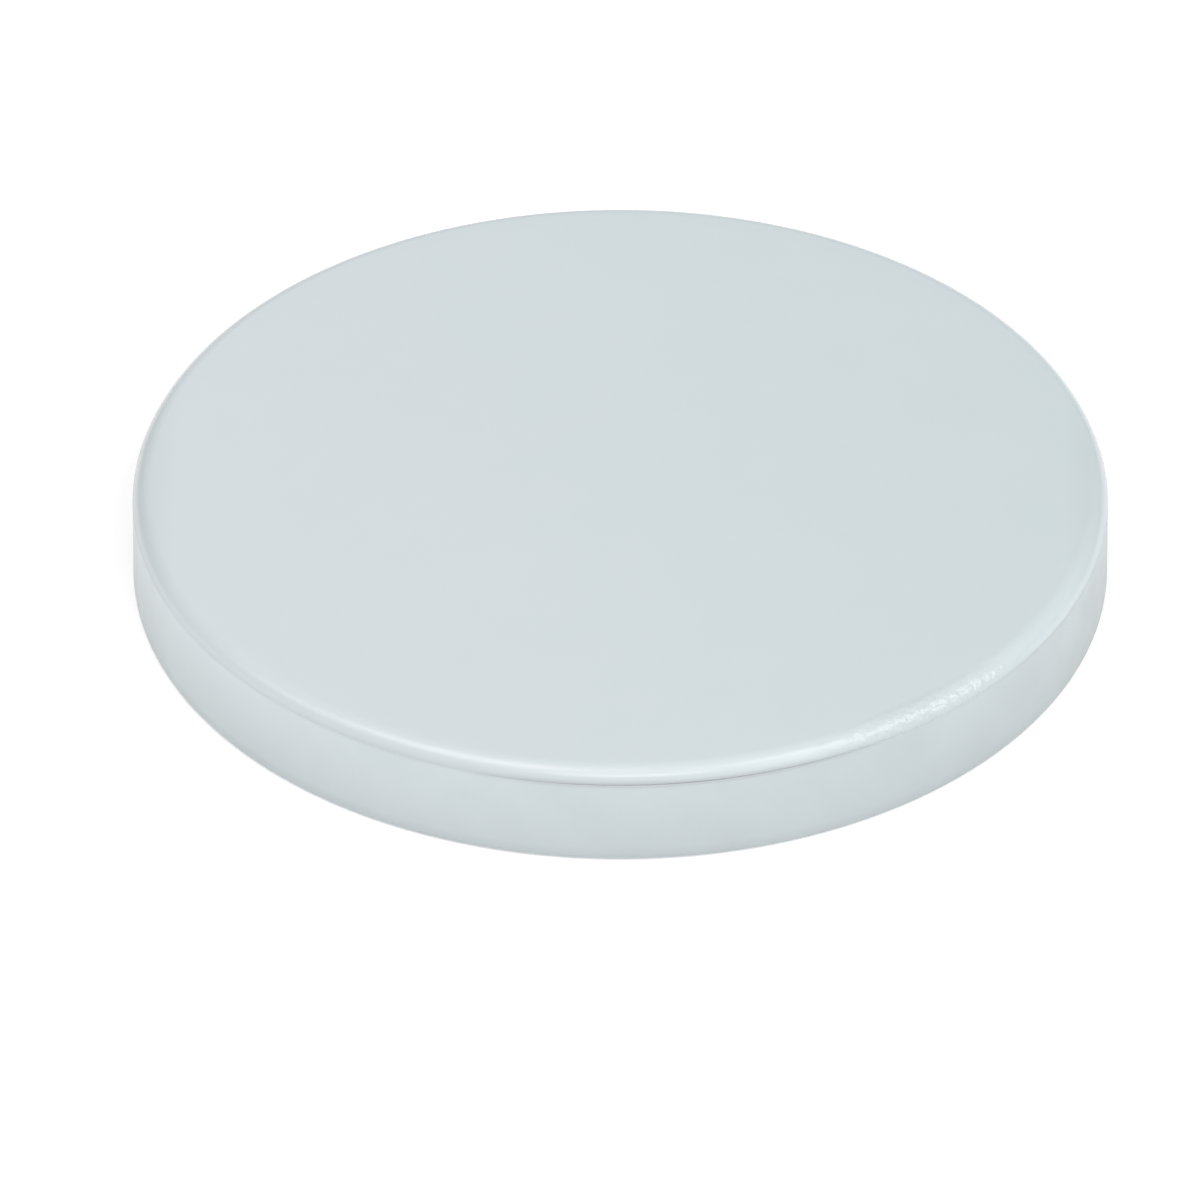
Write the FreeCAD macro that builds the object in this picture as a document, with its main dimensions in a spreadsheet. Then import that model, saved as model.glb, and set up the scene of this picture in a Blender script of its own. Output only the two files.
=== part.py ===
import FreeCAD, Part
import os
import Sketcher
from FreeCAD import Vector

# A weighted dealer button: a plain round disc, 50.8 mm across and 5.6 mm thick.
# A body shell, moulded as a shallow cup, makes the underside and the wall. A face cap with a rounded
# rim closes it. The cap's skirt is glued into a rebate at the top of the wall, so a fine V-shaped
# seam runs round the edge just under the rim. Six posts of the cap meet six bosses of the body, and
# three pins locate them. A steel weight lies between two foam pads that keep it from rattling.
#
# The origin is at the centre of the underside, +Z is up, and lengths are in millimetres.
# Each sub-part has its own zero height, and its Placement raises it to where it sits:
# the body at its underside, the cap at the seam, and the others at their own undersides.

# name, value, what it measures
DRIVING_SIZES = [
    ("button_radius", 25.4, "outside of the button"),
    ("body_height", 4.8, "underside to seam"),
    ("cap_rise", 0.8, "seam to face"),
    ("plate_thickness", 1.2, "floor of the body, and plate of the cap"),
    ("base_round", 0.35, "radius of the body's lower edge"),
    ("rim_round", 1.0, "radius of the cap's rim"),
    ("lip_radius", 25.36, "outside of the cap where its rim ends"),
    ("lip_rise", 0.08, "height of that point above the seam, and the cap's chamfer"),
    ("seam_chamfer", 0.1, "chamfer of the body's upper edge"),
    ("wall_inner", 23.7, "inside radius of the body's wall"),
    ("rebate_radius", 24.45, "radius of the rebate in the wall"),
    ("rebate_depth", 1.2, "depth of the rebate below the seam"),
    ("skirt_outer", 24.4, "outside radius of the cap's skirt"),
    ("skirt_inner", 23.5, "inside radius of the cap's skirt"),
    ("skirt_depth", 1.1, "depth of the skirt below the seam"),
    ("lead_in", 0.15, "chamfer that guides the skirt and the pins in"),
    ("post_circle", 22.2, "radius of the circle of posts and bosses"),
    ("post_radius", 1.4, "radius of a post of the cap"),
    ("post_depth", 2.0, "depth below the seam where posts and bosses meet"),
    ("boss_radius", 1.6, "radius of a boss of the body"),
    ("pin_radius", 0.6, "radius of a locating pin"),
    ("pin_length", 1.2, "length of a locating pin"),
    ("socket_radius", 0.62, "radius of a socket"),
    ("socket_depth", 1.4, "depth of a socket"),
    ("rib_outer", 19.4, "outside radius of the rib round a foam pad"),
    ("rib_inner", 18.6, "inside radius of that rib"),
    ("rib_height", 0.55, "height of that rib, just clear of the weight"),
    ("weight_radius", 20.5, "radius of the steel weight"),
    ("weight_thickness", 2.0, "thickness of the steel weight"),
    ("die_roll", 0.25, "rounded edge where the blanking punch entered"),
    ("burr_break", 0.1, "chamfer where the blanking burr was taken off"),
    ("pad_radius", 18.0, "radius of a foam pad"),
    ("pad_thickness", 0.6, "thickness of a foam pad"),
]

POST_COUNT = 6
PIN_COUNT = 3

# how a sketch numbers its own origin, its axes, and the points of a line, arc or circle
SKETCH_ORIGIN = (-1, 1)
ACROSS_AXIS = -1
UP_AXIS = -2
START, END, CENTRE = 1, 2, 3

size = {name: value for name, value, _ in DRIVING_SIZES}
doc = FreeCAD.newDocument("DealerButton")


def fill_sheet():
    sheet = doc.addObject("Spreadsheet::Sheet", "Sizes")
    for row, (name, value, note) in enumerate(DRIVING_SIZES, start=1):
        sheet.set(f"A{row}", name)
        sheet.set(f"B{row}", str(value))
        sheet.set(f"C{row}", note)
        sheet.setAlias(f"B{row}", name)
    doc.recompute()


# A length is written as a sum of named sizes, such as "skirt_outer - lead_in", and None is zero.
def amount(length):
    total = 0.0
    sign = 1
    for word in (length or "").split():
        if word in ("+", "-"):
            sign = 1 if word == "+" else -1
        else:
            total += sign * size[word]
    return total


def bind(target, path, length):
    words = [f"Sizes.{word}" if word in size else word for word in length.split()]
    target.setExpression(path, " ".join(words))


def dimension(sketch, kind, *places, length):
    index = sketch.addConstraint(Sketcher.Constraint(kind, *places, amount(length)))
    bind(sketch, f"Constraints[{index}]", length)


def new_body(label, height=None):
    body = doc.addObject("PartDesign::Body", label)
    body.Label = label
    if height:
        bind(body, "Placement.Base.z", height)
    return body


def new_sketch(body, name, role, level=None):
    plane = next(item for item in body.Origin.OriginFeatures if item.Role == role)
    sketch = body.newObject("Sketcher::SketchObject", name)
    sketch.AttachmentSupport = (plane, [""])
    sketch.MapMode = "FlatFace"
    if level:
        bind(sketch, "AttachmentOffset.Base.z", level)
    return sketch


# The arc between two points that bulges to the right of the way from start to end.
def arc_between(start, end, radius):
    chord = end - start
    outward = Vector(chord.y, -chord.x, 0).normalize()
    bulge = radius - (radius ** 2 - (chord.Length / 2) ** 2) ** 0.5
    return Part.Arc(start, (start + end) * 0.5 + outward * bulge, end)


# A closed outline, drawn anticlockwise. A corner is (radius, level), with an arc's radius added
# where the side from it to the next corner is an arc.
def draw_outline(sketch, corners):
    points = [Vector(amount(corner[0]), amount(corner[1]), 0) for corner in corners]
    following = points[1:] + points[:1]
    for start, end, corner in zip(points, following, corners):
        curved = len(corner) == 3
        side = arc_between(start, end, amount(corner[2])) if curved else Part.LineSegment(start, end)
        sketch.addGeometry(side, False)
    for index, (radius, level, *bend) in enumerate(corners):
        joined = Sketcher.Constraint("Coincident", index, END, (index + 1) % len(corners), START)
        sketch.addConstraint(joined)
        for kind, length, axis in (("DistanceX", radius, UP_AXIS), ("DistanceY", level, ACROSS_AXIS)):
            if length:
                dimension(sketch, kind, *SKETCH_ORIGIN, index, START, length=length)
            else:
                sketch.addConstraint(Sketcher.Constraint("PointOnObject", index, START, axis))
        for radius_of_arc in bend:
            dimension(sketch, "Radius", index, length=radius_of_arc)


def revolve(body, name, corners):
    sketch = new_sketch(body, f"{name}Outline", "XZ_Plane")
    draw_outline(sketch, corners)
    turned = body.newObject("PartDesign::Revolution", name)
    turned.Profile = sketch
    turned.ReferenceAxis = (sketch, ["V_Axis"])
    turned.Angle = 360
    doc.recompute()
    return turned


# A circle about the origin, or moved from it along -Y by the given distance.
def draw_circle(sketch, radius, distance=None):
    centre = Vector(0, -amount(distance), 0)
    circle = sketch.addGeometry(Part.Circle(centre, Vector(0, 0, 1), amount(radius)), False)
    dimension(sketch, "Radius", circle, length=radius)
    if distance:
        sketch.addConstraint(Sketcher.Constraint("PointOnObject", circle, CENTRE, UP_AXIS))
        dimension(sketch, "DistanceY", circle, CENTRE, *SKETCH_ORIGIN, length=distance)
    else:
        sketch.addConstraint(Sketcher.Constraint("Coincident", circle, CENTRE, *SKETCH_ORIGIN))


# Pads or pockets on the post circle, repeated evenly round the button. The first is at -Y.
def repeat_round(body, kind, name, count, radius, level, length, downwards):
    sketch = new_sketch(body, f"{name}Sketch", "XY_Plane", level)
    draw_circle(sketch, radius, "post_circle")
    first = body.newObject(kind, f"First{name}")
    first.Profile = sketch
    first.Reversed = downwards if kind == "PartDesign::Pad" else not downwards
    bind(first, "Length", length)
    pattern = body.newObject("PartDesign::PolarPattern", f"{name}s")
    pattern.Originals = [first]
    pattern.Axis = (sketch, ["N_Axis"])
    pattern.Angle = 360
    pattern.Occurrences = count
    body.Tip = pattern
    doc.recompute()
    return pattern


# The names of a feature's round edges of one radius at one level.
def round_edges(feature, radius, level):
    found = []
    for number, edge in enumerate(feature.Shape.Edges, start=1):
        curve = edge.Curve
        if not isinstance(curve, Part.Circle):
            continue
        if abs(curve.Radius - amount(radius)) < 1e-4 and abs(curve.Center.z - amount(level)) < 1e-4:
            found.append(f"Edge{number}")
    return found


# Rounds or chamfers those edges.
def dress(body, kind, name, base, radius, level, path, length):
    dressed = body.newObject(kind, name)
    dressed.Base = (base, round_edges(base, radius, level))
    bind(dressed, path, length)
    body.Tip = dressed
    doc.recompute()
    return dressed


# The rib that keeps a foam pad central, standing on a plate between two levels.
def add_pad_rib(body, lower, upper):
    return revolve(body, "PadRib", [
        ("rib_inner", lower),
        ("rib_outer", lower),
        ("rib_outer", upper),
        ("rib_inner", upper),
    ])


def make_body_shell():
    body = new_body("body_shell")
    revolve(body, "Shell", [
        (None, None),
        ("button_radius - base_round", None, "base_round"),
        ("button_radius", "base_round"),
        ("button_radius", "body_height - seam_chamfer"),
        ("button_radius - seam_chamfer", "body_height"),
        ("rebate_radius", "body_height"),
        ("rebate_radius", "body_height - rebate_depth"),
        ("wall_inner", "body_height - rebate_depth"),
        ("wall_inner", "plate_thickness"),
        (None, "plate_thickness"),
    ])
    add_pad_rib(body, "plate_thickness", "plate_thickness + rib_height")
    bosses = repeat_round(body, "PartDesign::Pad", "Boss", POST_COUNT, "boss_radius",
                          level="plate_thickness",
                          length="body_height - post_depth - plate_thickness", downwards=False)
    sockets = repeat_round(body, "PartDesign::Pocket", "Socket", PIN_COUNT, "socket_radius",
                           level="body_height - post_depth",
                           length="socket_depth", downwards=True)
    if sockets.Shape.Volume >= bosses.Shape.Volume:
        raise RuntimeError("the sockets cut nothing")
    return body


def make_face_cap():
    body = new_body("face_cap", "body_height")
    revolve(body, "Shell", [
        (None, "cap_rise - plate_thickness"),
        ("skirt_inner", "cap_rise - plate_thickness"),
        ("skirt_inner", "- skirt_depth"),
        ("skirt_outer - lead_in", "- skirt_depth"),
        ("skirt_outer", "lead_in - skirt_depth"),
        ("skirt_outer", None),
        ("lip_radius - lip_rise", None),
        ("lip_radius", "lip_rise", "rim_round"),
        ("button_radius - rim_round", "cap_rise"),
        (None, "cap_rise"),
    ])
    add_pad_rib(body, "cap_rise - plate_thickness - rib_height", "cap_rise - plate_thickness")
    repeat_round(body, "PartDesign::Pad", "Post", POST_COUNT, "post_radius",
                 level="cap_rise - plate_thickness",
                 length="post_depth + cap_rise - plate_thickness", downwards=True)
    pins = repeat_round(body, "PartDesign::Pad", "Pin", PIN_COUNT, "pin_radius",
                        level="- post_depth", length="pin_length", downwards=True)
    dress(body, "PartDesign::Chamfer", "PinTips", pins, "pin_radius", "- post_depth - pin_length",
          "Size", "lead_in")
    return body


def make_steel_weight():
    body = new_body("steel_weight", "plate_thickness + pad_thickness")
    sketch = new_sketch(body, "BlankSketch", "XY_Plane")
    draw_circle(sketch, "weight_radius")
    blank = body.newObject("PartDesign::Pad", "Blank")
    blank.Profile = sketch
    bind(blank, "Length", "weight_thickness")
    doc.recompute()
    rolled = dress(body, "PartDesign::Fillet", "DieRoll", blank, "weight_radius", "weight_thickness",
                   "Radius", "die_roll")
    dress(body, "PartDesign::Chamfer", "BurrBreak", rolled, "weight_radius", None,
          "Size", "burr_break")
    return body


def make_foam_pad(label, height):
    pad = doc.addObject("Part::Cylinder", label)
    pad.Label = label
    bind(pad, "Radius", "pad_radius")
    bind(pad, "Height", "pad_thickness")
    bind(pad, "Placement.Base.z", height)
    return pad


# The glue fills the gap between the rebate's shelf and the skirt's end, and the corner by its lead-in.
def make_glue_bead():
    body = new_body("glue_bead", "body_height - rebate_depth")
    gap = "rebate_depth - skirt_depth"
    revolve(body, "Bead", [
        ("wall_inner", None),
        ("rebate_radius", None),
        ("rebate_radius", f"{gap} + lead_in"),
        ("skirt_outer", f"{gap} + lead_in"),
        ("skirt_outer - lead_in", gap),
        ("wall_inner", gap),
    ])
    return body


def check_stack():
    cavity = amount("body_height + cap_rise - plate_thickness - plate_thickness")
    contents = amount("pad_thickness + weight_thickness + pad_thickness")
    if abs(cavity - contents) > 1e-6:
        raise RuntimeError(f"the pads and the weight are {contents} mm high in a {cavity} mm cavity")


def check_document(pieces):
    doc.recompute()
    for item in doc.Objects:
        if "Invalid" in item.State or "Error" in item.State:
            raise RuntimeError(f"{item.Name} failed: {item.State}")
    for piece in pieces:
        if piece.Shape.isNull() or not piece.Shape.isValid() or len(piece.Shape.Solids) != 1:
            raise RuntimeError(f"{piece.Label} is not one valid solid")


fill_sheet()
check_stack()
pieces = [
    make_body_shell(),
    make_face_cap(),
    make_steel_weight(),
    make_foam_pad("lower_foam_pad", "plate_thickness"),
    make_foam_pad("upper_foam_pad", "plate_thickness + pad_thickness + weight_thickness"),
    make_glue_bead(),
]
check_document(pieces)
os.makedirs("parts", exist_ok=True)
for piece in pieces:
    piece.Shape.exportStep(f"parts/{piece.Label}.step")
    print(f"{piece.Label}: {piece.Shape.Volume:.1f} cubic mm")
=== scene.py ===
from math import asin, atan2, cos, degrees, pi, radians, sin

import bmesh
import bpy
from mathutils import Matrix, Vector, noise


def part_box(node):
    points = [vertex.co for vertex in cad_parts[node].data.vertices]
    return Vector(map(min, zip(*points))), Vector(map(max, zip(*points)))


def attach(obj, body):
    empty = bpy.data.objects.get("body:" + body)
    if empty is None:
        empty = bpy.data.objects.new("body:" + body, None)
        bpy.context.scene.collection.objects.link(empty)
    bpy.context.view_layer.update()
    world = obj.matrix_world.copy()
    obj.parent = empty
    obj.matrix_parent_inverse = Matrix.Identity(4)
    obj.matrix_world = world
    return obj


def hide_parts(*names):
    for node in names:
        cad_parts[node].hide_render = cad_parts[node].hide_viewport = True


# A weighted dealer button. A moulded body shell is closed by a glued face cap with a rounded rim, and inside
# lies a steel weight between two foam pads. Places come from the CAD frame, and lengths are in metres.

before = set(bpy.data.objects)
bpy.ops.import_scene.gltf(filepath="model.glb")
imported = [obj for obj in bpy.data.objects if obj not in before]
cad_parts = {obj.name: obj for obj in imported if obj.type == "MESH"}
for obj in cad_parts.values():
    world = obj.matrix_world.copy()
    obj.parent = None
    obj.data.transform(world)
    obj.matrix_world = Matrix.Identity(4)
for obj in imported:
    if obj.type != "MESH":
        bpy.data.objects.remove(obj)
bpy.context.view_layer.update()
mm = 0.001
near = 0.01 * mm  # points this close to a radius or a height count as lying on it
same = 0.0001 * mm  # and points this close to each other count as one
noiseSpan = (0.3, 0.7)  # where nearly all of a noise texture's values lie

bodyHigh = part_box("body_shell")[1]
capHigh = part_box("face_cap")[1]
weightLow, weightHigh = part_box("steel_weight")
beadLow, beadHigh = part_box("glue_bead")

buttonRadius = bodyHigh.x
seamHeight = bodyHigh.z
faceHeight = capHigh.z
lipRadius = capHigh.x
print(f"frame loaded: {buttonRadius / mm:.1f} mm radius, {faceHeight / mm:.1f} mm thick")


view = {
    "azimuth": 0.0,
    "elevation": 36.08,
    "distance": 1.390,
    "lens": 800.0,
    "sensor": 36.0,
    "clips": (0.1, 20.0),
    "aimRight": -1.056 * mm,
    "aimUp": -3.80 * mm,
}

studio = {
    "floorSize": 6.0,
    "floorDrop": 0.01 * mm,
    "floorTint": (0.79, 0.795, 0.80, 1),
    "floorGlow": 0.42,  # the floor is a lit shooting table, which softens the shadow on it
    "floorRoughness": 0.9,
    "floorShine": 0.1,
    "skyTint": (0.99, 0.995, 1.0, 1),
    "skyStrength": 0.38,
    "boxTint": (1.0, 0.94, 0.915),
    # name, azimuth, elevation, distance, width, height, watts
    "boxes": (
        ("frontHigh", 4, 68, 1.6, 0.9, 0.5, 1.2),
        ("frontMiddle", 2, 46, 1.6, 0.8, 0.4, 4.8),
        ("frontLow", 28, 22, 1.6, 0.7, 0.35, 0.6),
        ("nearRight", 42, 36, 1.5, 0.5, 0.55, 1.9),
        ("rightHigh", 64, 58, 1.5, 0.7, 0.55, 4.3),
        ("rightLow", 82, 36, 1.5, 0.5, 0.6, 4.9),
        ("leftTop", -50, 78, 1.5, 0.6, 0.5, 1.9),
        ("leftHigh", -62, 62, 1.5, 0.85, 0.6, 5.0),
        ("leftLow", -85, 42, 1.5, 0.7, 0.45, 1.5),
    ),
}


# the direction from the button to a thing seen at that azimuth and elevation
def directionTo(azimuth, elevation):
    a = radians(azimuth)
    e = radians(elevation)
    return Vector((sin(a) * cos(e), -cos(a) * cos(e), sin(e)))


def aimAt(thing, direction):
    thing.rotation_mode = "QUATERNION"
    thing.rotation_quaternion = (-direction).to_track_quat("-Z", "Y")


def makeCamera(look):
    data = bpy.data.cameras.new("camera")
    data.lens = look["lens"]
    data.sensor_width = look["sensor"]
    data.clip_start, data.clip_end = look["clips"]
    camera = bpy.data.objects.new("camera", data)
    bpy.context.scene.collection.objects.link(camera)
    back = directionTo(look["azimuth"], look["elevation"])
    right = Vector((cos(radians(look["azimuth"])), sin(radians(look["azimuth"])), 0))
    target = Vector((0, 0, faceHeight / 2)) + right * look["aimRight"] + back.cross(right) * look["aimUp"]
    aimAt(camera, back)
    camera.location = target + back * look["distance"]
    bpy.context.scene.camera = camera


def makeLights(look):
    world = bpy.data.worlds.new("paleRoom")
    world.use_nodes = True
    sky = world.node_tree.nodes["Background"]
    sky.inputs["Color"].default_value = look["skyTint"]
    sky.inputs["Strength"].default_value = look["skyStrength"]
    bpy.context.scene.world = world
    for name, azimuth, elevation, distance, width, height, watts in look["boxes"]:
        lamp = bpy.data.lights.new(name, "AREA")
        lamp.shape = "RECTANGLE"
        lamp.size = width
        lamp.size_y = height
        lamp.energy = watts
        lamp.color = look["boxTint"]
        box = bpy.data.objects.new(name, lamp)
        bpy.context.scene.collection.objects.link(box)
        direction = directionTo(azimuth, elevation)
        aimAt(box, direction)
        box.location = direction * distance
        box.visible_camera = False


def makeFloor(look):
    bm = bmesh.new()
    bmesh.ops.create_grid(bm, x_segments=1, y_segments=1, size=look["floorSize"] / 2)
    bmesh.ops.translate(bm, verts=bm.verts, vec=(0, 0, -look["floorDrop"]))
    mesh = bpy.data.meshes.new("floor")
    bm.to_mesh(mesh)
    bm.free()
    floor = bpy.data.objects.new("floor", mesh)
    bpy.context.scene.collection.objects.link(floor)
    paper = bpy.data.materials.new("floorPaper")
    paper.use_nodes = True
    shader = paper.node_tree.nodes["Principled BSDF"]
    shader.inputs["Base Color"].default_value = look["floorTint"]
    shader.inputs["Roughness"].default_value = look["floorRoughness"]
    shader.inputs["Specular IOR Level"].default_value = look["floorShine"]
    shader.inputs["Emission Color"].default_value = look["floorTint"]
    shader.inputs["Emission Strength"].default_value = look["floorGlow"]
    mesh.materials.append(paper)


bpy.context.scene.view_settings.view_transform = "Standard"
makeCamera(view)
makeLights(studio)
makeFloor(studio)
print("camera, lights and floor placed")


# joins points (radius, height) with edges, and carries on from an earlier corner if one is given
def drawOutline(bm, points, at=(0, 0), after=None):
    corners = [after] if after else []
    corners += [bm.verts.new((at[0] + radius, at[1], height)) for radius, height in points]
    for pair in zip(corners, corners[1:]):
        bm.edges.new(pair)
    return corners


# carries the outline on round an arc and returns the corner where it ends
def drawArc(bm, start, centre, turn, steps):
    turned = bmesh.ops.spin(bm, geom=[start], cent=(centre[0], 0, centre[1]), axis=(0, 1, 0), dvec=(0, 0, 0),
                            angle=radians(turn), steps=steps, use_merge=False, use_duplicate=False)
    return turned["geom_last"][0]


def roundCorner(bm, corner, radius, steps):
    bmesh.ops.bevel(bm, geom=[corner], offset=radius, offset_type="OFFSET", segments=steps,
                    profile=0.5, affect="VERTICES", material=-1)


# divides the straight side between two corners
def divideSide(bm, first, second, cuts):
    bmesh.ops.subdivide_edges(bm, edges=[bm.edges.get((first, second))], cuts=cuts)


# spins a post or boss on the spot, leaving the shapes that are already spun
def spinPost(bm, segments, at):
    loose = [vert for vert in bm.verts if not vert.link_faces]
    loose += [edge for edge in bm.edges if not edge.link_faces]
    bmesh.ops.spin(bm, geom=loose, cent=(at[0], at[1], 0), axis=(0, 0, 1), dvec=(0, 0, 0),
                   angle=2 * pi, steps=segments, use_merge=True, use_duplicate=False)


# spins an outline round the button's axis: an eighth of a turn, which is then doubled three times
def spinRound(bm, segments):
    bmesh.ops.spin(bm, geom=bm.verts[:] + bm.edges[:], cent=(0, 0, 0), axis=(0, 0, 1), dvec=(0, 0, 0),
                   angle=2 * pi / 8, steps=segments // 8, use_merge=False, use_duplicate=False)
    for eighths in (1, 2, 4):
        copy = bmesh.ops.duplicate(bm, geom=bm.verts[:] + bm.edges[:] + bm.faces[:])["geom"]
        bmesh.ops.rotate(bm, verts=[part for part in copy if isinstance(part, bmesh.types.BMVert)],
                         cent=(0, 0, 0), matrix=Matrix.Rotation(2 * pi * eighths / 8, 3, "Z"))


def closeSkin(bm):
    bmesh.ops.remove_doubles(bm, verts=bm.verts, dist=same)
    bmesh.ops.recalc_face_normals(bm, faces=bm.faces)


# pushes the surface inwards by up to depth, in soft dimples of about the given size
def dimple(bm, depth, size, seed, where):
    bm.normal_update()
    shift = Vector((seed, -seed, 2 * seed))
    for vert in [vert for vert in bm.verts if where(vert.co)]:
        vert.co -= vert.normal * (depth * (0.5 + 0.5 * noise.noise(vert.co / size + shift)))


# the side where the seam stands open, how far that reaches to the left and right in degrees, and how open it is
seam = {
    "side": 9,
    "spread": 26,
    "most": 0.6,
    "least": 0.12,
}


# how far the seam stands open at a point: widest at its side, and almost shut elsewhere
def seamOpening(co):
    away = abs(atan2(co.x, -co.y) - radians(seam["side"])) / radians(seam["spread"])
    return seam["least"] + (seam["most"] - seam["least"]) * max(0.0, 1 - away) ** 0.5


def toObject(bm, name):
    mesh = bpy.data.meshes.new(name)
    bm.to_mesh(mesh)
    bm.free()
    thing = bpy.data.objects.new(name, mesh)
    bpy.context.scene.collection.objects.link(thing)
    return thing


# welds the second shape to the first, so that the two have one closed skin
def weld(first, second):
    base = toObject(first, "base")
    extra = toObject(second, "extra")
    joint = base.modifiers.new("weld", "BOOLEAN")
    joint.operation = "UNION"
    joint.solver = "EXACT"
    joint.object = extra
    bm = bmesh.new()
    bm.from_object(base, bpy.context.evaluated_depsgraph_get())
    for thing in (base, extra):
        mesh = thing.data
        bpy.data.objects.remove(thing)
        bpy.data.meshes.remove(mesh)
    closeSkin(bm)
    return bm


# draws in the two edges of a seam's chamfer, the outer one at its height and the inner one at the seam, and
# brings both out to the wall where the seam is shut
def shutLip(bm, radius, height, chamfer):
    ledge = buttonRadius - radius
    for vert in bm.verts:
        flat = Vector(vert.co.xy)
        closed = 1 - seamOpening(vert.co)
        if abs(vert.co.z - height) < near / 2 and flat.length > radius - near:
            vert.co.z += (seamHeight - height) * closed
            vert.co.xy = flat * (1 + ledge * closed / flat.length)
        elif abs(vert.co.z - seamHeight) < near / 2 and abs(flat.length - radius + chamfer) < near:
            vert.co.xy = flat * (1 + (chamfer + ledge) * closed / flat.length)


# makes the shape an object that stands for a CAD node and takes its material slot's finish
def addPiece(bm, name, material, node, sharpFrom=35):
    for edge in bm.edges:
        edge.smooth = edge.calc_face_angle(0) < radians(sharpFrom)
    for face in bm.faces:
        face.smooth = True
    piece = toObject(bm, name)
    piece.data.materials.append(material)
    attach(piece, "root")
    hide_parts(node)
    print(f"{name}: {len(piece.data.polygons)} faces")
    return piece


def newMaterial(name):
    material = bpy.data.materials.new(name)
    material.use_nodes = True
    return material, material.node_tree, material.node_tree.nodes["Principled BSDF"]


# adds a node, setting its options and giving each input a value or a link
def addNode(tree, kind, inputs, **options):
    node = tree.nodes.new(kind)
    for option, value in options.items():
        setattr(node, option, value)
    for socket, value in inputs.items():
        if isinstance(value, bpy.types.NodeSocket):
            tree.links.new(value, node.inputs[socket])
        else:
            node.inputs[socket].default_value = value
    return node


# the piece's own coordinates, with one unit to the millimetre
def inMillimetres(tree, stretch=(1, 1, 1), turn=0):
    coords = addNode(tree, "ShaderNodeTexCoord", {})
    inputs = {
        "Vector": coords.outputs["Object"],
        "Rotation": (0, 0, radians(turn)),
        "Scale": [factor / mm for factor in stretch],
    }
    return addNode(tree, "ShaderNodeMapping", inputs, vector_type="POINT").outputs[0]


def grain(tree, place, size, detail=2.0):
    node = addNode(tree, "ShaderNodeTexNoise", {"Vector": place, "Scale": 1 / size, "Detail": detail})
    return node.outputs["Fac"]


# moves a value from one span to another, and holds it at the ends
def span(tree, value, fromLow, fromHigh, toLow, toHigh):
    inputs = {"Value": value, "From Min": fromLow, "From Max": fromHigh, "To Min": toLow, "To Max": toHigh}
    return addNode(tree, "ShaderNodeMapRange", inputs).outputs[0]


def maths(tree, operation, first, second=0.0):
    return addNode(tree, "ShaderNodeMath", {0: first, 1: second}, operation=operation).outputs[0]


def blendTint(tree, amount, first, second):
    node = addNode(tree, "ShaderNodeMix", {}, data_type="RGBA")
    sockets = {socket.name: socket for socket in node.inputs if socket.type == "RGBA"}
    sockets["Factor"] = node.inputs["Factor"]
    for name, value in (("Factor", amount), ("A", first), ("B", second)):
        if isinstance(value, bpy.types.NodeSocket):
            tree.links.new(value, sockets[name])
        else:
            sockets[name].default_value = value
    return next(socket for socket in node.outputs if socket.type == "RGBA")


# stacks bumps, each a height and its depth in mm
def bump(tree, shader, layers):
    normal = None
    for height, depth in layers:
        inputs = {"Height": height, "Distance": depth * mm}
        if normal:
            inputs["Normal"] = normal
        normal = addNode(tree, "ShaderNodeBump", inputs).outputs["Normal"]
    tree.links.new(normal, shader.inputs["Normal"])


# fine wandering scratches: the contour lines of a stretched noise
def hairlines(tree, size, width, turn, stretch=0.06):
    level = grain(tree, inMillimetres(tree, (1, stretch, 1), turn), size, detail=1.0)
    return span(tree, maths(tree, "ABSOLUTE", maths(tree, "SUBTRACT", level, 0.5)), 0, width, 1, 0)


# a few tiny dark inclusions
def specks(tree, place, spacing, radius, share):
    cells = addNode(tree, "ShaderNodeTexVoronoi", {"Vector": place, "Scale": 1 / spacing})
    dot = span(tree, cells.outputs["Distance"], 0.5 * radius / spacing, radius / spacing, 1, 0)
    pick = addNode(tree, "ShaderNodeSeparateColor", {"Color": cells.outputs["Color"]}).outputs["Red"]
    return maths(tree, "MULTIPLY", dot, maths(tree, "LESS_THAN", pick, share))


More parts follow.
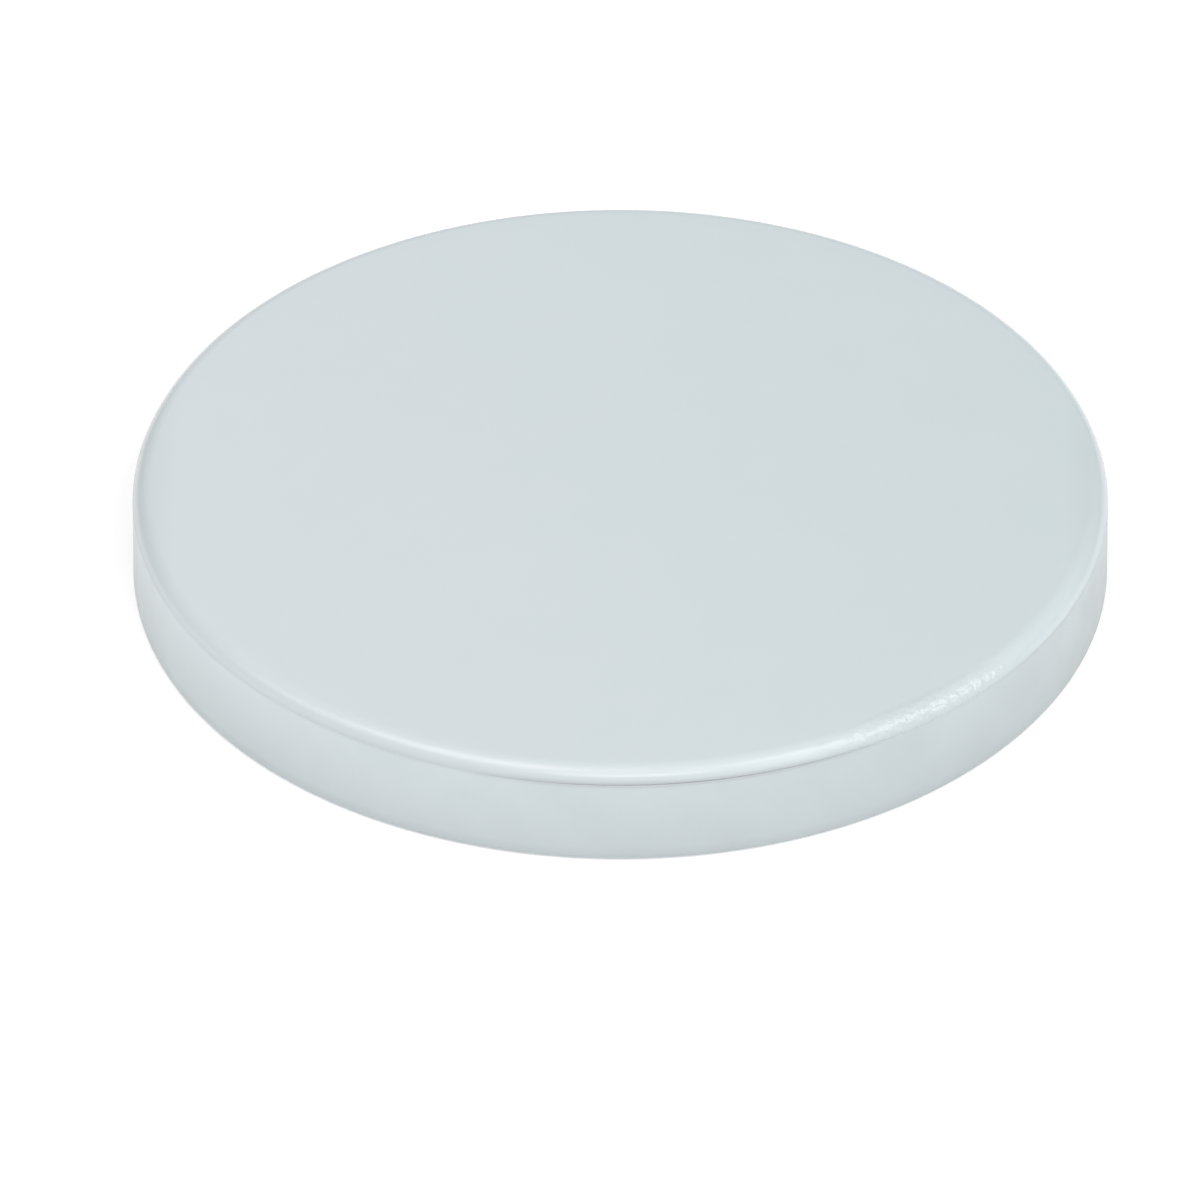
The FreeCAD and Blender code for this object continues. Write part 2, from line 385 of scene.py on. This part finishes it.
capPlastic = {
    # tint and paleTint: painted shade on the right side and painted light on the left side, blended across the
    # button, with random mottle leaning to paleTint
    "tint": (0.530, 0.622, 0.654, 1),
    "paleTint": (0.581, 0.654, 0.687, 1),
    "litSide": -80,
    "litShare": (0.08, 0.92),
    "mottleShare": 0.16,
    "mottleSize": 4.0,
    "speckTint": (0.36, 0.40, 0.42, 1),
    "speckSpacing": 2.2,
    "speckRadius": 0.05,
    "speckShare": 0.03,
    "speckStrength": 0.5,
    "roughness": (0.20, 0.27),
    "wearSize": 4.0 / 3,
    "ior": 1.49,
    "peelSize": 0.55,
    "peelDepth": 0.003,
    "streakSize": 0.44,
    "streakDepth": 0.15,
    "streakSide": 38,
    "streakReach": (0.95, 0.985),
    "grainSize": 0.55 / 6,
    "grainDepth": 0.0005,
    # the dark colour of the seam's dirt and of all the painted shade; then dirt and painted shade in the seam,
    # strongest towards the shaded front: where it fades out above and below, and how much there is away from
    # its side and at it
    "shadeAndGrimeTint": (0.33, 0.37, 0.38, 1),
    "seamGrimeAndShadeWidth": (0.04, 0.22),
    "shadedFront": 8,
    "seamGrimeAndShadeReach": (0.90, 0.99),
    "seamGrimeAndShade": (0.12, 0.52),
    # painted shade that fades out upwards between two heights, towards the shaded front only
    "shadeSpan": (4.85, 5.35),
    "shade": 0.3,
    "shadeSide": (0.6, 0.95),
    # and painted shade on the left and right ends and on the foot
    "endSpan": (0.91, 1.0),
    "endShade": 0.2,
    "footSpan": (0.25, 0.85),
    "footShade": 0.0,
    # size, width and turn of each set of scratches on the underside, and the heights where they fade out
    "scratches": ((3.0, 0.006, 25), (2.4, 0.006, -50)),
    "scuffSpan": (0.02, 0.2),
    "scuff": 0.15,
    "scuffHaze": 0.5,
}

# the body's painted shade fades out from the foot up to the seam, and its side spans the button, so it goes all
# round
bodyPlastic = dict(
    capPlastic,
    # the body's tint is its painted shade on the right side, far darker than its paleTint
    tint=(0.387, 0.453, 0.476, 1),
    paleTint=(0.600, 0.680, 0.705, 1),
    roughness=(0.32, 0.40),
    streakDepth=0.0,
    shadeSpan=(0.0, 4.8),
    shade=0.36,
    shadeSide=(-3, -2),
    endShade=0.14,
    footShade=0.18,
)


# from -1 to 1: how far a point lies from the button's axis towards the side at that azimuth
def toSide(tree, parts, azimuth):
    side = directionTo(azimuth, 0)
    return maths(tree, "ADD", maths(tree, "MULTIPLY", parts["X"], side.x * mm / buttonRadius),
                 maths(tree, "MULTIPLY", parts["Y"], side.y * mm / buttonRadius))


def makePlastic(name, look):
    material, tree, shader = newMaterial(name)
    place = inMillimetres(tree)
    parts = addNode(tree, "ShaderNodeSeparateXYZ", {"Vector": place}).outputs
    mottle = span(tree, grain(tree, place, look["mottleSize"], detail=4.0), *noiseSpan, 0, look["mottleShare"])
    # painted light on the left side and painted shade on the right side, blended with the mottle
    paintedSideLight = span(tree, toSide(tree, parts, look["litSide"]), -1, 1, *look["litShare"])
    tint = blendTint(tree, maths(tree, "ADD", paintedSideLight, mottle), look["tint"], look["paleTint"])
    # painted shade: a darker band between two heights towards the shaded front, a darker foot, and darker left
    # and right ends
    towardsShadedFront = toSide(tree, parts, look["shadedFront"])
    shade = maths(tree, "ADD", span(tree, parts["Z"], *look["shadeSpan"], look["shade"], 0),
                  span(tree, parts["Z"], *look["footSpan"], look["footShade"], 0))
    shade = maths(tree, "MULTIPLY", shade, span(tree, towardsShadedFront, *look["shadeSide"], 0, 1))
    endFrom, endTo = [share * buttonRadius / mm for share in look["endSpan"]]
    ends = span(tree, maths(tree, "ABSOLUTE", parts["X"]), endFrom, endTo, 0, look["endShade"])
    tint = blendTint(tree, maths(tree, "ADD", shade, ends), tint, look["shadeAndGrimeTint"])
    dots = specks(tree, place, look["speckSpacing"], look["speckRadius"], look["speckShare"])
    tint = blendTint(tree, maths(tree, "MULTIPLY", dots, look["speckStrength"]), tint, look["speckTint"])
    # a darker seam line: dirt and painted shade, strongest towards the shaded front
    fromSeam = maths(tree, "ABSOLUTE", maths(tree, "SUBTRACT", parts["Z"], seamHeight / mm))
    seamGrimeAndShade = maths(tree, "MULTIPLY", span(tree, fromSeam, *look["seamGrimeAndShadeWidth"], 1, 0),
                  span(tree, towardsShadedFront, *look["seamGrimeAndShadeReach"], *look["seamGrimeAndShade"]))
    tint = blendTint(tree, seamGrimeAndShade, tint, look["shadeAndGrimeTint"])
    tree.links.new(tint, shader.inputs["Base Color"])
    # the table has scuffed the underside
    scratches = maths(tree, "MAXIMUM", *[hairlines(tree, *lines) for lines in look["scratches"]])
    under = span(tree, parts["Z"], *look["scuffSpan"], look["scuff"], 0)
    scuffs = maths(tree, "MULTIPLY", maths(tree, "ADD", scratches, look["scuffHaze"]), under)
    wear = span(tree, grain(tree, place, look["wearSize"], detail=5.0), *noiseSpan, *look["roughness"])
    tree.links.new(maths(tree, "ADD", wear, scuffs), shader.inputs["Roughness"])
    streaks = grain(tree, place, look["streakSize"], detail=3.0)
    streaky = span(tree, toSide(tree, parts, look["streakSide"]), *look["streakReach"], 0, 1)
    bump(tree, shader, [
        (grain(tree, place, look["peelSize"]), look["peelDepth"]),
        (maths(tree, "MULTIPLY", streaks, streaky), look["streakDepth"]),
        (grain(tree, place, look["grainSize"]), look["grainDepth"]),
    ])
    shader.inputs["IOR"].default_value = look["ior"]
    return material


# posts and bosses stand evenly on a circle, the first towards the front, and every other one has a pin
joints = {
    "count": 6,
    "circle": 22.2 * mm,
    "meetHeight": seamHeight - 2.0 * mm,
    "rootDepth": 0.3 * mm,
    "segments": 64,
    "postRadius": 1.4 * mm,
    "pinRadius": 0.6 * mm,
    "pinLength": 1.2 * mm,
    "bossRadius": 1.6 * mm,
    "socketRadius": 0.62 * mm,
    "socketDepth": 1.4 * mm,
    "leadIn": 0.15 * mm,
    "edgeBreak": 0.06 * mm,
}


# spins one closed outline at each place on the circle: the first outline with a pin or socket, or the plain one
def makeJoints(look, fitted, plain):
    bm = bmesh.new()
    for number in range(look["count"]):
        angle = 2 * pi * number / look["count"] - pi / 2
        at = (look["circle"] * cos(angle), look["circle"] * sin(angle))
        drawOutline(bm, plain if number % 2 else fitted, at)
        spinPost(bm, look["segments"], at)
    closeSkin(bm)
    return bm


faceCap = {
    "segments": 600,
    "plate": 1.2 * mm,
    "skirtInner": 23.5 * mm,
    "skirtOuter": 24.4 * mm,
    "skirtDepth": 1.1 * mm,
    "leadIn": 0.15 * mm,
    "rimRound": 1.0 * mm,
    "rimTurn": 73.74,
    "rimSteps": 14,
    "lipChamfer": 0.08 * mm,
    "faceRings": 22,
    "ribInner": 18.6 * mm,
    "ribOuter": 19.4 * mm,
    "ribHeight": 0.55 * mm,
    "rootRound": 0.25 * mm,
    "rootSteps": 4,
    "waveDepth": 0.004 * mm,
    "waveSize": 3.0 * mm,
    "waveSeed": 2.0,
}


def makeCap(look, material):
    under = faceHeight - look["plate"]
    skirtEnd = seamHeight - look["skirtDepth"]
    flatRadius = buttonRadius - look["rimRound"]
    bm = bmesh.new()
    face = drawOutline(bm, [(0, faceHeight), (flatRadius, faceHeight)])
    lip = drawArc(bm, face[1], (flatRadius, faceHeight - look["rimRound"]), look["rimTurn"], look["rimSteps"])
    inside = drawOutline(bm, [
        (lip.co.x - look["lipChamfer"], seamHeight),
        (look["skirtOuter"], seamHeight),
        (look["skirtOuter"], skirtEnd + look["leadIn"]),
        (look["skirtOuter"] - look["leadIn"], skirtEnd),
        (look["skirtInner"], skirtEnd),
        (look["skirtInner"], under),
        (look["ribOuter"], under),
        (look["ribOuter"], under - look["ribHeight"]),
        (look["ribInner"], under - look["ribHeight"]),
        (look["ribInner"], under),
        (0, under),
    ], after=lip)
    # the corner between the skirt and the plate
    roundCorner(bm, inside[6], look["rootRound"], look["rootSteps"])
    divideSide(bm, face[0], face[1], look["faceRings"])
    spinRound(bm, look["segments"])
    closeSkin(bm)
    chamferTop = seamHeight + look["lipChamfer"]
    dimple(bm, look["waveDepth"], look["waveSize"], look["waveSeed"], lambda co: co.z > chamferTop)
    shutLip(bm, lipRadius, chamferTop, look["lipChamfer"])
    meet = joints["meetHeight"]
    root = under + joints["rootDepth"]
    pinEnd = meet - joints["pinLength"]
    post = [(0, root), (joints["postRadius"], root), (joints["postRadius"], meet)]
    posts = makeJoints(joints, post + [
        (joints["pinRadius"], meet),
        (joints["pinRadius"], pinEnd + joints["leadIn"]),
        (joints["pinRadius"] - joints["leadIn"], pinEnd),
        (0, pinEnd),
    ], post + [(0, meet)])
    return addPiece(weld(bm, posts), "faceCap", material, "face_cap")


makeCap(faceCap, makePlastic("capPlastic", capPlastic))
print("face cap made")


bodyShell = {
    "segments": 600,
    "floor": 1.2 * mm,
    "baseRound": 0.35 * mm,
    "baseSteps": 6,
    "seamChamfer": 0.1 * mm,
    "rebateRadius": 24.45 * mm,
    "rebateDepth": 1.2 * mm,
    "wallInner": 23.7 * mm,
    "wallRings": 14,
    "ribInner": 18.6 * mm,
    "ribOuter": 19.4 * mm,
    "ribHeight": 0.55 * mm,
    "rootRound": 0.25 * mm,
    "rootSteps": 4,
    "waveDepth": 0.004 * mm,
    "waveSize": 3.0 * mm,
    "waveSeed": 5.0,
}


def makeBody(look, material):
    floor = look["floor"]
    shelf = seamHeight - look["rebateDepth"]
    bm = bmesh.new()
    corners = drawOutline(bm, [
        (0, floor),
        (look["ribInner"], floor),
        (look["ribInner"], floor + look["ribHeight"]),
        (look["ribOuter"], floor + look["ribHeight"]),
        (look["ribOuter"], floor),
        (look["wallInner"], floor),
        (look["wallInner"], shelf),
        (look["rebateRadius"], shelf),
        (look["rebateRadius"], seamHeight),
        (buttonRadius - look["seamChamfer"], seamHeight),
        (buttonRadius, seamHeight - look["seamChamfer"]),
        (buttonRadius, look["baseRound"]),
    ])
    base = look["baseRound"]
    foot = drawArc(bm, corners[-1], (buttonRadius - base, base), 90, look["baseSteps"])
    drawOutline(bm, [(0, 0)], after=foot)
    # the corner between the floor and the wall
    roundCorner(bm, corners[5], look["rootRound"], look["rootSteps"])
    divideSide(bm, corners[-2], corners[-1], look["wallRings"])
    spinRound(bm, look["segments"])
    closeSkin(bm)
    dimple(bm, look["waveDepth"], look["waveSize"], look["waveSeed"],
           lambda co: co.z > base / 2 and Vector(co.xy).length > buttonRadius - near)
    shutLip(bm, buttonRadius, seamHeight - look["seamChamfer"], look["seamChamfer"])
    meet = joints["meetHeight"]
    root = floor - joints["rootDepth"]
    socketEnd = meet - joints["socketDepth"]
    boss = [(0, root), (joints["bossRadius"], root), (joints["bossRadius"], meet)]
    bosses = makeJoints(joints, boss + [
        (joints["socketRadius"] + joints["edgeBreak"], meet),
        (joints["socketRadius"], meet - joints["edgeBreak"]),
        (joints["socketRadius"], socketEnd),
        (0, socketEnd),
    ], boss + [(0, meet)])
    return addPiece(weld(bm, bosses), "bodyShell", material, "body_shell")


makeBody(bodyShell, makePlastic("bodyPlastic", bodyPlastic))
print("body shell made")


steelWeight = {
    "segments": 360,
    "dieRoll": 0.25 * mm,
    "rollSteps": 6,
    "burrBreak": 0.1 * mm,
    "faceRings": 14,
    "edgeRings": 12,
    "tornShare": 0.4,  # the lower part of the sheared edge, which tore
    "tornDepth": 0.05 * mm,
    "tornSize": 0.5 * mm,
    "tornSeed": 3.0,
    "dentDepth": 0.012 * mm,
    "dentSize": 2.5 * mm,
    "dentSeed": 8.0,
}

platedSteel = {
    "tint": (0.56, 0.58, 0.60, 1),
    "paleTint": (0.66, 0.67, 0.67, 1),
    "tornTint": (0.40, 0.40, 0.39, 1),
    "tornFade": 0.1,
    "tornRoughness": 0.25,  # added to the rest
    "roughness": (0.28, 0.42),
    "spangleSize": 3.0,
    "rollStretch": 0.03,
    "grainSize": 0.12,
    "grainDepth": 0.004,
    "rippleSize": 0.75,
    "rippleDepth": 0.008,
}


def makeSteel(name, look, tornHeight):
    material, tree, shader = newMaterial(name)
    place = inMillimetres(tree)
    parts = addNode(tree, "ShaderNodeSeparateXYZ", {"Vector": place}).outputs
    spangle = addNode(tree, "ShaderNodeTexVoronoi", {"Vector": place, "Scale": 1 / look["spangleSize"]})
    patch = addNode(tree, "ShaderNodeSeparateColor", {"Color": spangle.outputs["Color"]}).outputs["Red"]
    rolled = grain(tree, inMillimetres(tree, (look["rollStretch"], 1, 1)), look["grainSize"], detail=3.0)
    shine = maths(tree, "MULTIPLY", maths(tree, "ADD", patch, rolled), 0.5)
    tint = blendTint(tree, shine, look["tint"], look["paleTint"])
    # the torn band lies low on the rim, where the plating is dull
    acrossSquared = maths(tree, "ADD", maths(tree, "MULTIPLY", parts["X"], parts["X"]),
                          maths(tree, "MULTIPLY", parts["Y"], parts["Y"]))
    onRim = maths(tree, "GREATER_THAN", acrossSquared, ((weightHigh.x - steelWeight["dieRoll"]) / mm) ** 2)
    tornFrom = tornHeight / mm
    torn = maths(tree, "MULTIPLY", onRim, span(tree, parts["Z"], tornFrom, tornFrom + look["tornFade"], 1, 0))
    tree.links.new(blendTint(tree, torn, tint, look["tornTint"]), shader.inputs["Base Color"])
    shader.inputs["Metallic"].default_value = 1.0
    rough = maths(tree, "ADD", span(tree, rolled, *noiseSpan, *look["roughness"]),
                  maths(tree, "MULTIPLY", torn, look["tornRoughness"]))
    tree.links.new(rough, shader.inputs["Roughness"])
    bump(tree, shader, [
        (rolled, look["grainDepth"]),
        (grain(tree, place, look["rippleSize"]), look["rippleDepth"]),
    ])
    return material


def makeWeight(look):
    low = weightLow.z
    high = weightHigh.z
    radius = weightHigh.x
    tornHeight = low + (high - low) * look["tornShare"]
    bm = bmesh.new()
    face = drawOutline(bm, [(0, high), (radius - look["dieRoll"], high)])
    rolled = drawArc(bm, face[1], (radius - look["dieRoll"], high - look["dieRoll"]), 90, look["rollSteps"])
    edge = drawOutline(bm, [
        (radius, low + look["burrBreak"]),
        (radius - look["burrBreak"], low),
        (0, low),
    ], after=rolled)
    divideSide(bm, edge[0], edge[1], look["edgeRings"])
    flats = [side for side in bm.edges if side.calc_length() > radius / 2]
    bmesh.ops.subdivide_edges(bm, edges=flats, cuts=look["faceRings"])
    spinRound(bm, look["segments"])
    closeSkin(bm)
    dimple(bm, look["tornDepth"], look["tornSize"], look["tornSeed"],
           lambda co: low + look["burrBreak"] < co.z < tornHeight and Vector(co.xy).length > radius - near)
    dimple(bm, look["dentDepth"], look["dentSize"], look["dentSeed"], lambda co: co.z > high - near)
    material = makeSteel("platedSteel", platedSteel, tornHeight)
    return addPiece(bm, "steelWeight", material, "steel_weight")


makeWeight(steelWeight)
print("steel weight made")


foamPad = {
    "segments": 240,
    "bulge": 0.12 * mm,  # how far the squeezed edge stands out
    "bulgeSteps": 8,
    "rings": 44,
    "cellDepth": 0.03 * mm,
    "cellSize": 0.7 * mm,
}

foam = {
    "tint": (0.012, 0.012, 0.014, 1),
    "paleTint": (0.045, 0.045, 0.05, 1),
    "cellSize": 0.22,
    "cellDepth": 0.06,
    "wallSpan": (0.15, 0.6),
    "cloudSize": 2.0,
    "roughness": (0.85, 0.97),
    "sheen": 0.2,
    "sheenRoughness": 0.6,
}


def makeFoam(name, look):
    material, tree, shader = newMaterial(name)
    place = inMillimetres(tree)
    cells = addNode(tree, "ShaderNodeTexVoronoi", {"Vector": place, "Scale": 1 / look["cellSize"]})
    wall = span(tree, cells.outputs["Distance"], *look["wallSpan"], 0, 1)
    cloud = grain(tree, place, look["cloudSize"], detail=4.0)
    tint = blendTint(tree, maths(tree, "MULTIPLY", wall, cloud), look["tint"], look["paleTint"])
    tree.links.new(tint, shader.inputs["Base Color"])
    tree.links.new(span(tree, cloud, *noiseSpan, *look["roughness"]), shader.inputs["Roughness"])
    shader.inputs["Sheen Weight"].default_value = look["sheen"]
    shader.inputs["Sheen Roughness"].default_value = look["sheenRoughness"]
    bump(tree, shader, [(wall, look["cellDepth"])])
    return material


def makePad(name, node, material, look, seed):
    low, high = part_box(node)
    half = (high.z - low.z) / 2
    bulge = look["bulge"]
    # the radius of an edge that stands out by the bulge over the pad's height, and the angle it turns through
    bend = (half * half + bulge * bulge) / (2 * bulge)
    turn = 2 * degrees(asin(half / bend))
    bm = bmesh.new()
    face = drawOutline(bm, [(0, high.z), (high.x - bulge, high.z)])
    edge = drawArc(bm, face[1], (high.x - bend, low.z + half), turn, look["bulgeSteps"])
    drawOutline(bm, [(0, low.z)], after=edge)
    flats = [side for side in bm.edges if side.calc_length() > high.x / 2]
    bmesh.ops.subdivide_edges(bm, edges=flats, cuts=look["rings"])
    spinRound(bm, look["segments"])
    closeSkin(bm)
    dimple(bm, look["cellDepth"], look["cellSize"], seed, lambda co: True)
    pad = addPiece(bm, name, material, node, sharpFrom=60)
    return pad


foamMaterial = makeFoam("foamTape", foam)
makePad("foamPadUpper", "upper_foam_pad", foamMaterial, foamPad, seed=11.0)
makePad("foamPadLower", "lower_foam_pad", foamMaterial, foamPad, seed=13.0)
print("foam pads made")


glueBead = {
    "segments": 480,
    "gap": 0.1 * mm,
    "squeezeSteps": 8,
    "squeezeDepth": 0.25 * mm,
    "squeezeSize": 4.0 * mm,
}

cement = {
    "tint": (0.62, 0.48, 0.24, 1),
    "paleTint": (0.74, 0.64, 0.42, 1),
    "cloudSize": 1.5,
    "bubbleSpacing": 0.5,
    "bubbleRadius": 0.07,
    "bubbleShare": 0.5,
    "roughness": (0.12, 0.30),
    "bumpDepth": 0.01,
    "glowThrough": 0.3,
    "glowReach": (0.6 * mm, 0.4 * mm, 0.2 * mm),
}


def makeCement(name, look):
    material, tree, shader = newMaterial(name)
    place = inMillimetres(tree)
    cloud = grain(tree, place, look["cloudSize"], detail=3.0)
    bubbles = specks(tree, place, look["bubbleSpacing"], look["bubbleRadius"], look["bubbleShare"])
    tint = blendTint(tree, maths(tree, "MAXIMUM", cloud, bubbles), look["tint"], look["paleTint"])
    tree.links.new(tint, shader.inputs["Base Color"])
    tree.links.new(span(tree, cloud, *noiseSpan, *look["roughness"]), shader.inputs["Roughness"])
    shader.inputs["Subsurface Weight"].default_value = look["glowThrough"]
    shader.inputs["Subsurface Radius"].default_value = look["glowReach"]
    shader.inputs["Subsurface Scale"].default_value = 1.0
    bump(tree, shader, [(bubbles, look["bumpDepth"]), (cloud, look["bumpDepth"])])
    return material


def makeBead(look):
    shelf = beadLow.z
    gapTop = shelf + look["gap"]
    inner = bodyShell["wallInner"] + look["gap"] / 2
    bm = bmesh.new()
    section = drawOutline(bm, [
        (inner, gapTop),
        (faceCap["skirtOuter"] - faceCap["leadIn"], gapTop),
        (faceCap["skirtOuter"], beadHigh.z),
        (beadHigh.x, beadHigh.z),
        (beadHigh.x, shelf),
        (inner, shelf),
    ])
    drawArc(bm, section[-1], (inner, shelf + look["gap"] / 2), 180, look["squeezeSteps"])
    spinRound(bm, look["segments"])
    closeSkin(bm)
    # the cement stops short of the inner edge by more in some places than in others
    for vert in bm.verts:
        flat = Vector(vert.co.xy)
        if flat.length < inner + look["gap"]:
            away = 0.5 + 0.5 * noise.noise(vert.co / look["squeezeSize"])
            vert.co.xy = flat * (1 + away * look["squeezeDepth"] / flat.length)
    return addPiece(bm, "glueBead", makeCement("curedCement", cement), "glue_bead")


makeBead(glueBead)
print("glue bead made")
